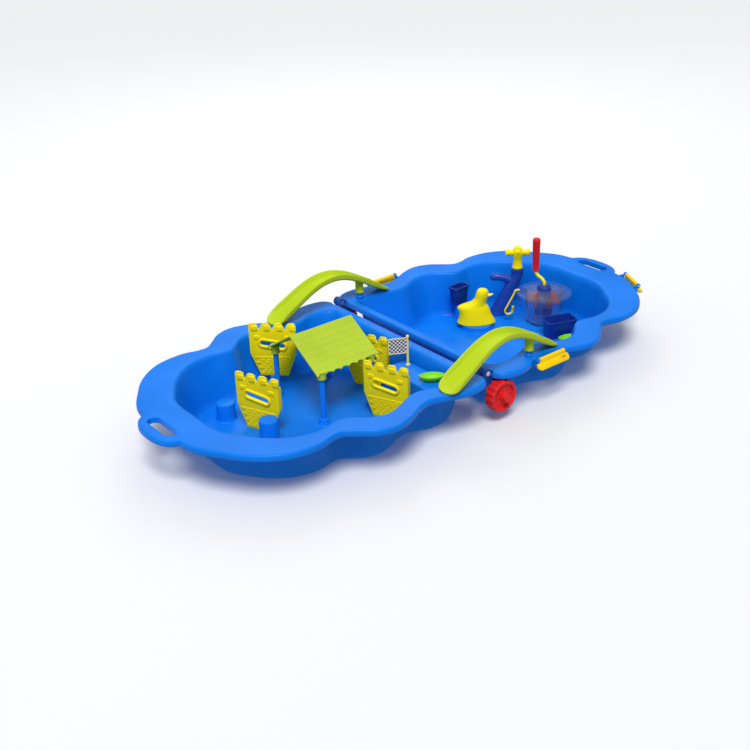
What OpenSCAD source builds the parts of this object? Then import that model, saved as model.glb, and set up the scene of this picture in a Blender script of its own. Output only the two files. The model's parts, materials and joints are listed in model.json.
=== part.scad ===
// Folding sand and water table: two shallow basins hinged edge to edge, with wheels,
// latches, two slide bridges and a set of plug-in water toys.
// Origin: on the ground, midway between the basins. +X runs to the swirl toy basin.

/* [Basins] */
// Height of the rim plane above the ground
rim_z = 112; // [104:1:120]
// Distance from the hinge line to the outer end of a basin rim
basin_end = 614; // [606:1:622]
// Gap from the hinge line to the near edge of a basin rim
hinge_edge = 13; // [13:0.5:15]
// Thickness of the basin floor
floor_t = 3; // [2.5:0.5:3.5]
// Depth of the rolled lip around the rim
lip_h = 14; // [12:1:14]
// Reach of the carrying loop beyond the rim
loop_reach = 32; // [24:1:36]

/* [Hinge] */
// Radius of the hinge pins
pin_r = 3; // [2.5:0.25:3.5]
// Radius of the hinge knuckles
knuckle_r = 10; // [8:0.5:11]
// Radial running clearance of every turning joint
run_gap = 0.06; // [0.03:0.01:0.09]
// Distance of the hinge knuckles from the centre line
hinge_y = 247.5; // [247:0.5:248]

/* [Wheels] */
// Outer radius of a wheel
wheel_r = 36; // [30:1:36]
// Width of a wheel
wheel_w = 26; // [20:1:27]
// Number of scallops around a wheel
wheel_lobes = 16; // [10:1:22]
// Radius of the steel axle
axle_r = 4; // [3:0.5:5]

/* [Bridges] */
// Length of a slide bridge
bridge_l = 331; // [320:1:335]
// Height of the bridge crown above the rim plane
bridge_h = 80; // [60:1:82]
// Width of a bridge at its wide foot
bridge_wide = 58; // [50:1:58]
// Width of a bridge at its narrow foot
bridge_narrow = 40; // [36:1:42]

/* [Castle gates] */
// Width of a castle gate
gate_w = 104; // [96:1:106]
// Height of a castle gate
gate_h = 128; // [120:1:130]
// Thickness of the gate wall
gate_t = 4; // [3:0.5:5]
// Number of merlons on a gate
merlons = 4; // [3:1:4]

/* [Roof] */
// Length of the roof along its ridge
roof_l = 160; // [140:1:160]
// Width of the roof from eave to eave
roof_w = 190; // [180:1:192]
// Height of the eaves above the rim plane
eave_z = 10; // [4:1:14]
// Rise from eave to ridge
roof_rise = 60; // [50:1:60]
// Radius of the roof posts
post_r = 6; // [5:0.5:7]

/* [Swirl toy] */
// Radius of the swirl toy bowl
bowl_r = 44; // [40:1:46]
// Radius of the clear cover
cover_r = 68; // [60:1:69]
// Distance of the crank grip from the crank axis
crank_throw = 27; // [20:1:30]
// Number of red paddles
paddles = 6; // [4:1:8]

/* [Hidden] */
$fn = 48;
basin_blue = "#1484e6";
navy = "#2348a8";
lime = "#b4d334";
sun = "#ffdf12";
amber = "#ffc918";
red = "#e0242a";
hinge_z = rim_z + 0.6;
leaf_z = rim_z - 9.2;
leaf_t = 2.6;
leaf_w = 19;
leaf_l = 30;
notch_w = 20;
knuckle_w = 6;

// ---- Basin outline ---------------------------------------------------------------
// Key points of the wavy rim, hinge side to outer end: distance from the hinge, half width
rim_keys = [[hinge_edge, 262], [26, 280], [57, 288], [91, 285], [124, 272], [158, 263],
    [191, 270], [229, 289], [272, 300], [310, 289], [336, 268], [361, 248], [387, 247],
    [420, 255], [458, 253], [492, 243], [525, 222], [554, 193], [578, 158], [600, 122],
    [610, 92], [basin_end, 50], [basin_end - 1, 0]];
key_steps = 2;
mean_half_w = 285;
function key(i) = rim_keys[max(0, min(len(rim_keys) - 1, i))];
// Point t of the way from key i to key i + 1 on a Catmull-Rom curve
function curve(i, t) = 0.5 * (2 * key(i) + (key(i + 1) - key(i - 1)) * t
    + (2 * key(i - 1) - 5 * key(i) + 4 * key(i + 1) - key(i + 2)) * t * t
    + (3 * key(i) - key(i - 1) - 3 * key(i + 1) + key(i + 2)) * t * t * t);
half_rim = [for (i = [0:len(rim_keys) - 2]) for (s = [0:key_steps - 1]) curve(i, s / key_steps)];
rim_loop = concat([for (p = half_rim) [p[0], -p[1]]], [[basin_end - 1, 0]],
    [for (i = [len(half_rim) - 1:-1:0]) half_rim[i]]);
// Rim outline pulled in by side, end and hinge-side distances
function inset(p, side, end, hinge) = [
    hinge_edge + hinge + (p[0] - hinge_edge)
        * (basin_end - end - hinge_edge - hinge) / (basin_end - hinge_edge),
    p[1] * (1 - side / mean_half_w)];

// Basin profile from the middle of the floor over the rim to the underside:
// side inset, end inset, hinge-side inset, height below the rim plane
wall_t = 3;
floor_z = floor_t - rim_z;
profile = [[94, 106, 48, floor_z], [86, 98, 40, floor_z + 3], [80, 92, 34, floor_z + 13],
    [57, 80, 26, -lip_h], [55, 78, 24, -6], [50, 72, 20, -2], [3, 3, 3, 0], [0, 0, 0, -4],
    [0, 0, 0, -lip_h], [wall_t, wall_t, wall_t, -lip_h], [wall_t, wall_t, wall_t, -5],
    [47, 69, 17, -6], [52, 75, 21, -9], [54, 77, 23, -lip_h - 2],
    [77, 89, 31, floor_z + 12], [83, 95, 37, 2 - rim_z], [92, 104, 46, -rim_z]];

// Middle of the wall thickness, from just under the lip to the floor
wall_middle = [[55.5, 77.5, 23.5, -15], [78.5, 90.5, 32.5, -96.5], [84.5, 96.5, 38.5, -107.5],
    [92.5, 104.5, 46.5, -110.5]];

// Closed solid through a list of inset rim outlines, its first cap facing up and its last down
module loft(rings) {
    n = len(rim_loop);
    last = len(rings) - 1;
    ring_points = [for (r = rings) for (p = rim_loop)
        let (q = inset(p, r[0], r[1], r[2])) [q[0], q[1], rim_z + r[3]]];
    middles = [for (r = [rings[0], rings[last]]) [basin_end / 2, 0, rim_z + r[3]]];
    sides = [for (r = [0:last - 1]) for (i = [0:n - 1])
        let (j = (i + 1) % n) each [[r * n + i, (r + 1) * n + j, (r + 1) * n + i],
            [r * n + i, r * n + j, (r + 1) * n + j]]];
    top = [for (i = [0:n - 1]) [len(ring_points), (i + 1) % n, i]];
    bottom = [for (i = [0:n - 1]) [len(ring_points) + 1, last * n + i, last * n + (i + 1) % n]];
    polyhedron(concat(ring_points, middles), concat(top, bottom, sides));
}

module carrying_loop() {
    translate([0, 0, rim_z - lip_h]) linear_extrude(lip_h) polygon(
        [for (a = [-90:7.5:90]) [basin_end - 14 + (loop_reach + 14) * cos(a), 66 * sin(a)]]);
}

module grip_hole() {
    translate([basin_end - 16, 0, rim_z - 2 * lip_h]) linear_extrude(3 * lip_h) union() {
        for (s = [-1, 1]) translate([0, 31 * s]) circle(13);
        square([26, 62], center = true);
    }
}

// Openings in the hinge-side edge where the hinge knuckles sit
module hinge_notches() {
    for (s = [-1, 1]) translate([0, s * hinge_y - notch_w / 2, rim_z - lip_h - 2])
        cube([hinge_edge + 5, notch_w, lip_h + 4]);
}

module basin_shell() {
    difference() {
        union() {
            loft(profile);
            carrying_loop();
        }
        grip_hole();
        hinge_notches();
    }
}

// ---- Basins ----------------------------------------------------------------------
end_boss_x = 403;
end_boss_r = 20;
// Pillar that carries the far left gate
shelf_gate_x = -234;
shelf_gate_y = 182;
shelf_z = rim_z - 90;
shelf_r = 11;
// Raised step in the near corner by the hinge
block_w = 60;
block_z = rim_z - 30;
// Pillar from the basin floor
module floor_boss(x, y, r, top) {
    translate([x, y, 1]) cylinder(h = top - 1, r = r);
}

module basin_a() {
    color(basin_blue) mirror([1, 0, 0]) union() {
        basin_shell();
        floor_boss(end_boss_x, 117, end_boss_r, rim_z - 70);
        floor_boss(end_boss_x - 10, -33, end_boss_r, rim_z - 52);
        for (x = [-1, 1]) for (y = [-1, 1])
            floor_boss(x * post_dx - roof_x, roof_y + y * post_dy, post_r + 4, 16);
        floor_boss(-shelf_gate_x, shelf_gate_y, shelf_r, shelf_z);
        intersection() {
            loft(wall_middle);
            translate([46, -200, 0]) cube([block_w, 158, block_z]);
        }
    }
}

island_r = 36;
swirl_x = 453;
swirl_y = 15;
tower_x = 438;
tower_y = 94;
box_x = 308;
box_y = 166;
box_shelf_z = rim_z - 66;
hub_boss_r = 12;
hub_boss_top = 20;
shaft_r = 4;
module basin_b() {
    color(basin_blue) difference() {
        union() {
            basin_shell();
            floor_boss(island_x, island_y, island_r, island_top);
            floor_boss(swirl_x, swirl_y, hub_boss_r, hub_boss_top);
            for (s = [-1, 1]) place_side(s) latch_ears(side_latch_l, 12.5);
            place_corner() latch_ears(end_latch_l, 14.5);
            floor_boss(box_x, box_y, shelf_r, box_shelf_z);
        }
        translate([swirl_x, swirl_y, 6]) cylinder(h = 30, r = shaft_r + run_gap);
    }
}

// ---- Hinge -----------------------------------------------------------------------
screw_x = 40.5;
screw_dy = 5.5;
module knuckle(y) {
    translate([0, y, hinge_z]) rotate([90, 0, 0]) difference() {
        union() {
            cylinder(h = knuckle_w, r = knuckle_r, center = true);
            translate([0, leaf_z - hinge_z, -knuckle_w / 2]) cube([20, leaf_t, knuckle_w]);
        }
        cylinder(h = knuckle_w + 2, r = pin_r + run_gap, center = true);
    }
}

module leaf_plate(s) {
    difference() {
        translate([16, s * hinge_y - leaf_w / 2, leaf_z]) cube([leaf_l, leaf_w, leaf_t]);
        for (e = [-1, 1]) translate([screw_x, s * hinge_y + e * screw_dy, leaf_z - 1])
            cylinder(h = 6, r = 2.1);
    }
}

module hinge_brackets_a() {
    color(navy) for (s = [-1, 1]) mirror([1, 0, 0]) union() {
        leaf_plate(s);
        knuckle(s * hinge_y);
    }
}

module hinge_brackets_b() {
    color(navy) for (s = [-1, 1]) union() {
        leaf_plate(s);
        for (o = [-1, 1]) knuckle(s * hinge_y + o * (knuckle_w + 0.4));
    }
}

module hinge_pins() {
    color("gainsboro") for (s = [-1, 1]) translate([0, s * hinge_y, hinge_z]) rotate([90, 0, 0])
        union() {
            cylinder(h = 20.4, r = pin_r, center = true);
            for (e = [-1, 1]) translate([0, 0, e * 11]) cylinder(h = 2, r = pin_r + 2, center = true);
        }
}

module screw_set() {
    color("gainsboro") for (s = [-1, 1]) for (e = [-1, 1])
        translate([screw_x, s * hinge_y + e * screw_dy, leaf_z - 2]) union() {
            cylinder(h = leaf_t + 2, r = 2);
            cylinder(h = 2, r = 3.2);
        }
}

module bracket_screws_a() { mirror([1, 0, 0]) screw_set(); }
module bracket_screws_b() { screw_set(); }

// ---- Wheels ----------------------------------------------------------------------
axle_x = 26;
axle_z = rim_z - 53;
wheel_y = 270;
module axle() {
    color("silver") translate([axle_x, 0, axle_z]) rotate([90, 0, 0])
        cylinder(h = 2 * wheel_y + 40, r = axle_r, center = true);
}

// Cradles that carry the axle under the flange, beside the hull
module axle_brackets() {
    color(navy) for (s = [-1, 1]) difference() {
        union() {
            translate([axle_x, s * (wheel_y - 21.5), axle_z]) rotate([90, 0, 0])
                cylinder(h = 10, r = axle_r + 5, center = true);
            translate([axle_x - 9, s * (wheel_y - 21.5) - 5, axle_z]) cube([18, 10, leaf_z - axle_z]);
        }
        translate([axle_x, 0, axle_z]) rotate([90, 0, 0])
            cylinder(h = 2 * wheel_y, r = axle_r + run_gap, center = true);
    }
}

module axle_caps() {
    color(navy) for (s = [-1, 1]) translate([axle_x, s * (wheel_y + wheel_w / 2 + 5), axle_z])
        rotate([90, 0, 0]) difference() {
            cylinder(h = 8, r = 9, center = true);
            translate([0, 0, s * 2]) cylinder(h = 8, r = axle_r + run_gap, center = true);
        }
}

module wheel(s) {
    color(red) translate([axle_x, s * wheel_y, axle_z]) rotate([90, 0, 0]) difference() {
        union() {
            translate([0, 0, -wheel_w / 2]) linear_extrude(wheel_w) difference() {
                polygon([for (a = [0:3:357])
                    (wheel_r - 1.4 + 1.4 * cos(wheel_lobes * a)) * [cos(a), sin(a)]]);
                circle(wheel_r - 7);
            }
            cylinder(h = wheel_w, r = 10, center = true);
            cylinder(h = 8, r = wheel_r - 6, center = true);
        }
        cylinder(h = wheel_w + 2, r = axle_r + run_gap, center = true);
    }
}

module wheel_near() { wheel(-1); }
module wheel_far() { wheel(1); }

// ---- Latches ---------------------------------------------------------------------
latch_gap = 8;
latch_z = hinge_z;
latch_drop = 15.2;
barrel_r = 4.6;
latch_pin_r = 2;
ear_w = 6;
side_latch_l = 92;
end_latch_l = 84;
side_latch_x = 160;
side_latch_y = 278;
corner = [basin_end - 16, -127];
corner_turn = 63.4;
// Hooked plate hanging from a pin along the local X axis, its outer face towards -Y
module latch(l) {
    rotate([90, 0, 90]) difference() {
        union() {
            translate([0, 0, -l / 2]) linear_extrude(l) polygon([[3, 0], [-3, 0], [-3, -latch_drop],
                [-13, -latch_drop - 1], [-13, -latch_drop - 5], [-2, -latch_drop - 5],
                [3, -latch_drop]]);
            cylinder(h = l, r = barrel_r, center = true);
        }
        cylinder(h = l + 2, r = latch_pin_r + run_gap, center = true);
        for (e = [-1, 1]) translate([0, 0, e * l / 2])
            cylinder(h = 2 * ear_w + 4, r = barrel_r + 0.8, center = true);
        translate([-20, -8, 0.34 * l]) rotate([0, 90, 0]) cylinder(h = 40, r = 5, $fn = 3);
    }
}

module place_side(s) {
    translate([side_latch_x, s * (side_latch_y + latch_gap), latch_z])
        mirror([0, s > 0 ? 1 : 0, 0]) children();
}

module place_corner() {
    translate([corner[0] + latch_gap * sin(corner_turn),
        corner[1] - latch_gap * cos(corner_turn), latch_z]) rotate([0, 0, corner_turn]) children();
}

// Pair of ears that carry a latch pin, reaching back to the rim
module latch_ears(l, reach) {
    for (e = [-1, 1]) translate([e * (l / 2 - ear_w / 2 - 1), 0, 0]) rotate([90, 0, 90]) difference() {
        union() {
            cylinder(h = ear_w, r = barrel_r, center = true);
            translate([0, -3.8, -ear_w / 2]) cube([reach, 3, ear_w]);
            translate([3.6, -latch_drop, -ear_w / 2]) cube([reach - 3.6, latch_drop, ear_w]);
        }
        cylinder(h = ear_w + 2, r = latch_pin_r + run_gap, center = true);
    }
}

module latch_pin(l) {
    rotate([0, 90, 0]) cylinder(h = l - 1, r = latch_pin_r, center = true);
}

module side_latch_near() { color(amber) place_side(-1) latch(side_latch_l); }
module side_latch_far() { color(amber) place_side(1) latch(side_latch_l); }
module end_latch() { color(amber) place_corner() latch(end_latch_l); }

module latch_pins() {
    color("silver") {
        for (s = [-1, 1]) place_side(s) latch_pin(side_latch_l);
        place_corner() latch_pin(end_latch_l);
    }
}

// ---- Bridges ---------------------------------------------------------------------
bridge_start = -125;
bridge_lift = 0.3;
bridge_stations = 28;
near_shift = 0;
far_shift = -70;
near_line = 261;
far_line = 250;
bridge_toe = 13;
channel_h = 15;
channel_t = 3;
socket_at = 0.758;
socket_h = 20;
socket_r = 10;
bridge_post_r = 7;
// Height of the channel's underside at a fraction of the length
function arch(t) = (bridge_h - channel_h) * pow((1 - cos(360 * t)) / 2, 0.75);
function bridge_width(t) = bridge_wide + (bridge_narrow - bridge_wide) * min(1, 1.6 * t);
function side_wall(t) = channel_t + (channel_h - channel_t) * min(1, 9 * min(t, 1 - t) + 0.3);
// Channel section at a fraction of the length: across, height
function channel(t) = let (w = bridge_width(t) / 2, h = side_wall(t), c = channel_t)
    [[-w + 2, 0], [w - 2, 0], [w, 2], [w, h], [w - c, h], [w - c - 2, c], [-w + c + 2, c],
    [-w + c, h], [-w, h], [-w, 2]];

module bridge(shift, line) {
    n = 10;
    points = [for (k = [0:bridge_stations]) let (t = k / bridge_stations) for (q = channel(t))
        [bridge_start + shift + bridge_l * t, q[0] + bridge_toe * t - line,
            rim_z + bridge_lift + arch(t) + q[1]]];
    sides = [for (k = [0:bridge_stations - 1]) for (i = [0:n - 1]) let (j = (i + 1) % n)
        each [[k * n + i, (k + 1) * n + j, k * n + j], [k * n + i, (k + 1) * n + i, (k + 1) * n + j]]];
    start = [for (i = [0:n - 1]) i];
    finish = [for (i = [n - 1:-1:0]) bridge_stations * n + i];
    color(lime) difference() {
        union() {
            polyhedron(points, concat([start, finish], sides));
            translate([post_x(shift), -post_y(line), rim_z + 12])
                cylinder(h = socket_h + 6, r = socket_r);
        }
        translate([post_x(shift), -post_y(line), rim_z])
            cylinder(h = 12 + socket_h - 2, r = bridge_post_r + run_gap);
    }
}
function post_x(shift) = bridge_start + shift + bridge_l * socket_at;
function post_y(line) = line - bridge_toe * socket_at;

module bridge_post(s, shift, line) {
    color(basin_blue) translate([post_x(shift), s * post_y(line), rim_z + bridge_lift])
        cylinder(h = 8 + socket_h, r = bridge_post_r);
}

module bridge_near() { bridge(near_shift, near_line); }
module bridge_far() { mirror([0, 1, 0]) bridge(far_shift, far_line); }
module bridge_post_near() { bridge_post(-1, near_shift, near_line); }
module bridge_post_far() { bridge_post(1, far_shift, far_line); }

// ---- Castle gates ----------------------------------------------------------------
merlon_h = 17;
notch_l = 10;
flank_d = 13;
slot_l = 44;
slot_r = 6;
// Gate outline seen from the front, foot centred on the origin
function gate_outline() = let (w = gate_w / 2, m = (gate_w - (merlons - 1) * notch_l) / merlons)
    concat([[-0.3 * gate_w, 0], [0.3 * gate_w, 0], [w, 0.42 * gate_h]],
        [for (i = [merlons - 1:-1:0]) let (l = -w + i * (m + notch_l))
            each concat([[l + m, gate_h - 5], [l + m - 3, gate_h], [l + 3, gate_h - 1], [l, gate_h - 5]],
                i > 0 ? [[l - notch_l / 2, gate_h - merlon_h]] : [])],
        [[-w, 0.42 * gate_h]]);

module slot_shape(grow) {
    rotate([0, 0, 9]) union() {
        for (e = [-1, 1]) translate([e * slot_l / 2, 0]) circle(slot_r + grow);
        square([slot_l, 2 * (slot_r + grow)], center = true);
    }
}

module castle_gate(x, y, z, turn) {
    color(sun) translate([x, y, z]) rotate([0, 0, turn]) union() {
        rotate([90, 0, 90]) linear_extrude(gate_t) difference() {
            polygon(gate_outline());
            translate([0, 0.6 * gate_h]) slot_shape(0);
        }
        translate([-3, 0, 0]) rotate([90, 0, 90]) linear_extrude(3.5) translate([0, 0.6 * gate_h])
            difference() {
                slot_shape(5);
                slot_shape(0);
            }
        for (e = [-1, 1]) translate([0, e * (gate_w / 2 - gate_t / 2) - gate_t / 2, 0.42 * gate_h])
            cube([flank_d, gate_t, 0.42 * gate_h]);
    }
}

module castle_near_left() { castle_gate(-378, 27, floor_t, 23); }
module castle_far_left() { castle_gate(shelf_gate_x, shelf_gate_y, shelf_z, 45); }
module castle_near_right() { castle_gate(-152, -111, floor_t, 23); }
module castle_far_right() { castle_gate(-90, 33, floor_t, 23); }

// ---- Roof ------------------------------------------------------------------------
roof_x = -198;
roof_y = 44;
roof_t = 3;
post_dx = 64;
post_dy = 84;
roof_post_top = rim_z + 14;
thatch = 8;
// Roof slope seen from above its own plane: ridge along X at the origin, scalloped eave
module slope_shape() {
    run = sqrt(pow(roof_w / 2, 2) + pow(roof_rise, 2));
    polygon(concat([[roof_l / 2, 0], [-roof_l / 2, 0]],
        [for (i = [0:32]) let (u = i / 32)
            [roof_l * (u - 0.5), run - 4 * abs(sin(180 * thatch * u))]]));
}

module roof() {
    tilt = atan(2 * roof_rise / roof_w);
    color(lime) translate([roof_x, roof_y, 0]) difference() {
        union() {
            for (s = [-1, 1]) mirror([0, s > 0 ? 0 : 1, 0])
                translate([0, 0, rim_z + eave_z + roof_rise]) rotate([-tilt, 0, 0])
                    translate([0, 0, -roof_t]) linear_extrude(roof_t) slope_shape();
            for (x = [-1, 1]) for (y = [-1, 1]) translate([x * post_dx, y * post_dy, rim_z - 4])
                cylinder(h = eave_z + 10, r = post_r + 3.5);
        }
        for (x = [-1, 1]) for (y = [-1, 1]) translate([x * post_dx, y * post_dy, rim_z - 5])
            cylinder(h = roof_post_top - rim_z + 5.4, r = post_r + run_gap);
    }
}

module roof_posts() {
    color(basin_blue) for (x = [-1, 1]) for (y = [-1, 1])
        translate([roof_x + x * post_dx, roof_y + y * post_dy, 16])
            cylinder(h = roof_post_top - 16, r = post_r);
}

// ---- Flag ------------------------------------------------------------------------
flag_x = -56;
flag_y = -70;
flag_top = rim_z + 41;
flag_turn = 154.5;
module flag_pole() {
    color("#f0e06a") translate([flag_x, flag_y, block_z]) union() {
        cylinder(h = flag_top - block_z - 3, r = 2.4);
        translate([0, 0, flag_top - block_z - 3]) sphere(r = 3);
        cylinder(h = 3, r = 5);
    }
}

module flag_panel() {
    color("white") translate([flag_x, flag_y, flag_top - 42]) rotate([0, 0, flag_turn])
        translate([2.6, -0.8, 0]) cube([40, 1.6, 36]);
}

// ---- Duck mould ------------------------------------------------------------------
island_x = 300;
island_y = 92;
island_top = 17;
module duck() {
    color(sun) translate([island_x + 4, island_y + 6, island_top + 0.2]) rotate([0, 0, -40]) union() {
        hull() {
            scale([46, 30, 1]) cylinder(h = 2, r = 1, $fn = 48);
            translate([-18, 0, 24]) sphere(r = 19, $fn = 32);
            translate([16, 0, 24]) sphere(r = 17, $fn = 32);
        }
        hull() {
            translate([-24, 0, 28]) sphere(r = 12, $fn = 24);
            translate([-36, 0, 40]) sphere(r = 4, $fn = 24);
        }
        hull() {
            translate([10, 0, 36]) sphere(r = 15, $fn = 32);
            translate([14, 0, 70]) sphere(r = 15, $fn = 32);
        }
        hull() {
            translate([26, 0, 70]) sphere(r = 6, $fn = 24);
            translate([38, 0, 70]) sphere(r = 3, $fn = 24);
        }
    }
}

// ---- Water tower -----------------------------------------------------------------
spigot_r = 7;
tower_top = rim_z + 12;
arm_turn = 140;
// Foot of the leaning tower, on the side of its arm
foot_x = tower_x - 37;
foot_y = tower_y + 30;
foot_z = floor_t + 0.2;
collar_h = 34;
// Tilt and direction of the tower's lean
lean_run = norm([tower_x - foot_x, tower_y - foot_y]);
lean_rise = tower_top - collar_h / 2 - foot_z;
lean_l = norm([lean_run, lean_rise]);
module tower() {
    color("#3a62c8") difference() {
        union() {
            translate([foot_x, foot_y, foot_z])
                rotate([0, atan(lean_run / lean_rise), atan2(tower_y - foot_y, tower_x - foot_x)])
                translate([0, 0, -10]) cylinder(h = lean_l + 10, r1 = 22, r2 = 15.5);
            translate([tower_x, tower_y, tower_top - collar_h]) cylinder(h = collar_h, r = 15);
            translate([tower_x - 8, tower_y + 6, rim_z - 12]) rotate([0, 90, arm_turn]) cylinder(h = 50, r = 9);
        }
        translate([tower_x, tower_y, tower_top - 26]) cylinder(h = 30, r = spigot_r + run_gap);
        translate([foot_x - 60, foot_y - 60, foot_z - 40]) cube([120, 120, 40]);
    }
}

module tower_head() {
    bar_z = 40;
    color(sun) translate([tower_x, tower_y, tower_top]) union() {
        translate([0, 0, -25]) cylinder(h = 30, r = spigot_r);
        translate([0, 0, 0.4]) cylinder(h = bar_z + 12, r = 11);
        translate([0, 0, bar_z + 12.4]) cylinder(h = 3, r = 8);
        translate([0, 0, bar_z]) rotate([0, 90, -40]) cylinder(h = 60, r = 7, center = true);
        for (e = [0, 180]) translate([0, 0, bar_z]) rotate([0, 90, -40 + e]) translate([0, 0, 23])
            cylinder(h = 7, r = 8.5);
    }
}

// ---- Swirl toy -------------------------------------------------------------------
cover_z = rim_z - 34;
hub_top = rim_z - 14;
hub_foot = 21;
crank_turn = 98.4;
grip_foot = rim_z + 18;
grip_h = 83;
rod_r = 3;
grip_x = swirl_x + crank_throw * cos(crank_turn);
grip_y = swirl_y + crank_throw * sin(crank_turn);
module swirl_bowl() {
    color("#bfe0f0") translate([swirl_x, swirl_y, floor_t + 0.2]) difference() {
        cylinder(h = cover_z - floor_t - 0.4, r = bowl_r);
        translate([0, 0, 3]) cylinder(h = 120, r = bowl_r - 3);
        translate([0, 0, -1]) cylinder(h = 10, r = hub_boss_r + 1);
    }
}

module swirl_cover() {
    color("#dff2fa") translate([swirl_x, swirl_y, cover_z]) rotate_extrude() polygon([[18.5, 5],
        [18.5, 8], [cover_r - 20, 7], [cover_r - 2, 4], [cover_r, 2.5], [cover_r, 0], [bowl_r + 2.4, 0],
        [bowl_r + 2.4, -24], [bowl_r + 0.3, -24], [bowl_r + 0.3, 0], [bowl_r - 4, 0],
        [bowl_r - 6, 4]]);
}

module rotor_hub() {
    color(navy) translate([swirl_x, swirl_y, 0]) difference() {
        union() {
            translate([0, 0, hub_foot]) cylinder(h = hub_top - hub_foot, r1 = 22, r2 = 16.5);
            translate([0, 0, 7]) cylinder(h = hub_foot - 6, r = shaft_r);
        }
        translate([0, 0, hub_top - 8]) cylinder(h = 10, r = rod_r + 1);
    }
}

module rotor_paddles() {
    color(red) translate([swirl_x, swirl_y, cover_z - 28]) for (k = [1:paddles])
        rotate([0, 0, 360 * k / paddles]) difference() {
            translate([10, -1.2, 0]) cube([bowl_r - 15, 2.4, 26]);
            translate([0, 0, hub_foot + 28 - cover_z]) cylinder(h = hub_top - hub_foot, r1 = 22.1, r2 = 16.6);
        }
}

// Round bar of radius r between two points
module bar(a, b, r) {
    d = b - a;
    translate(a) rotate([0, acos(d[2] / norm(d)), atan2(d[1], d[0])]) cylinder(h = norm(d), r = r);
}

module crank_rod() {
    low = [swirl_x, swirl_y, hub_top + 4];
    high = [grip_x, grip_y, grip_foot - 6];
    color(sun) union() {
        translate([swirl_x, swirl_y, hub_top - 8]) cylinder(h = 12, r = rod_r + 1);
        translate(low) sphere(r = rod_r + 2);
        bar(low, high, rod_r + 1);
        translate(high) sphere(r = rod_r + 2);
        translate(high) cylinder(h = grip_h + 2, r = rod_r);
    }
}

module crank_grip() {
    color(red) translate([grip_x, grip_y, grip_foot]) difference() {
        rotate_extrude() polygon(concat([[0, 0]], [for (k = [0:12]) let (t = k / 12)
            [8.2 + 1.8 * sin(180 * t), grip_h * t]], [[0, grip_h]]));
        translate([0, 0, -1]) cylinder(h = grip_h - 2, r = rod_r + run_gap);
    }
}

// ---- Hook, boxes and boats ---------------------------------------------------------
hook_w = 5;
hook_bend = 12;
hook_drop = 46;
hook_out = 24;
hook_turn = 140;
// J-shaped hook that hangs over the edge of the clear cover, its shank leaning outwards
module hook() {
    color(sun) translate([swirl_x, swirl_y, cover_z]) rotate([0, 0, hook_turn])
        translate([cover_r + 0.6, hook_w / 2, 0]) rotate([90, 0, 0]) linear_extrude(hook_w) union() {
            translate([-9, 5.4]) square([9 + hook_w, 3.6]);
            polygon([[0, 9], [0, 0], [hook_out, -hook_drop], [hook_out + hook_w, -hook_drop],
                [hook_w, 2], [hook_w, 9]]);
            translate([hook_out + hook_w - hook_bend, -hook_drop]) difference() {
                circle(hook_bend);
                circle(hook_bend - hook_w);
                translate([-hook_bend, 0]) square(2 * hook_bend);
            }
            translate([hook_out + hook_w - 2 * hook_bend, -hook_drop]) square([hook_w, 12]);
        }
}

module bin(x, y, z, size, turn) {
    color(navy) translate([x, y, z]) rotate([0, 0, turn]) difference() {
        translate([-size[0] / 2, -size[1] / 2, 0]) cube(size);
        translate([3 - size[0] / 2, 3 - size[1] / 2, 3]) cube([size[0] - 6, size[1] - 6, size[2]]);
    }
}

module box_right() { bin(418, -71, floor_t + 0.2, [78, 46, 44], -20); }
module box_left() { bin(box_x, box_y, box_shelf_z + 0.2, [50, 30, 45], 0); }

// Leaf-shaped outline with two pointed ends
module leaf(l, w) {
    polygon(concat([for (k = [0:12]) [l * (k / 12 - 0.5), w / 2 * pow(sin(15 * k), 0.8)]],
        [for (k = [11:-1:1]) [l * (k / 12 - 0.5), -w / 2 * pow(sin(15 * k), 0.8)]]));
}

module boat(x, y, z, turn) {
    color("#79dc2c") translate([x, y, z]) rotate([0, 0, turn]) difference() {
        hull() {
            linear_extrude(1) leaf(34, 14);
            translate([0, 0, 15]) linear_extrude(1) leaf(56, 30);
        }
        hull() {
            translate([0, 0, 3]) linear_extrude(1) leaf(28, 9);
            translate([0, 0, 16]) linear_extrude(2) leaf(50, 25);
        }
    }
}

module boat_a() { boat(-68, -162, block_z + 0.2, -35); }
module boat_b() { boat(406, -114, floor_t + 0.2, -22); }
module boat_c() { boat(-190, -150, floor_t + 0.2, 25); }

// ---- Drawing ---------------------------------------------------------------------
basin_a();
basin_b();
hinge_brackets_a();
hinge_brackets_b();
hinge_pins();
bracket_screws_a();
bracket_screws_b();
axle();
axle_brackets();
axle_caps();
wheel_near();
wheel_far();
end_latch();
side_latch_near();
side_latch_far();
latch_pins();
bridge_near();
bridge_far();
bridge_post_near();
bridge_post_far();
castle_near_left();
castle_far_left();
castle_near_right();
castle_far_right();
roof();
roof_posts();
flag_pole();
flag_panel();
duck();
tower();
tower_head();
hook();
swirl_bowl();
swirl_cover();
rotor_hub();
rotor_paddles();
crank_rod();
crank_grip();
box_left();
box_right();
boat_a();
boat_b();
boat_c();
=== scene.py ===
import json
import math

import bmesh
import bpy
from mathutils import Matrix, Vector


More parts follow.
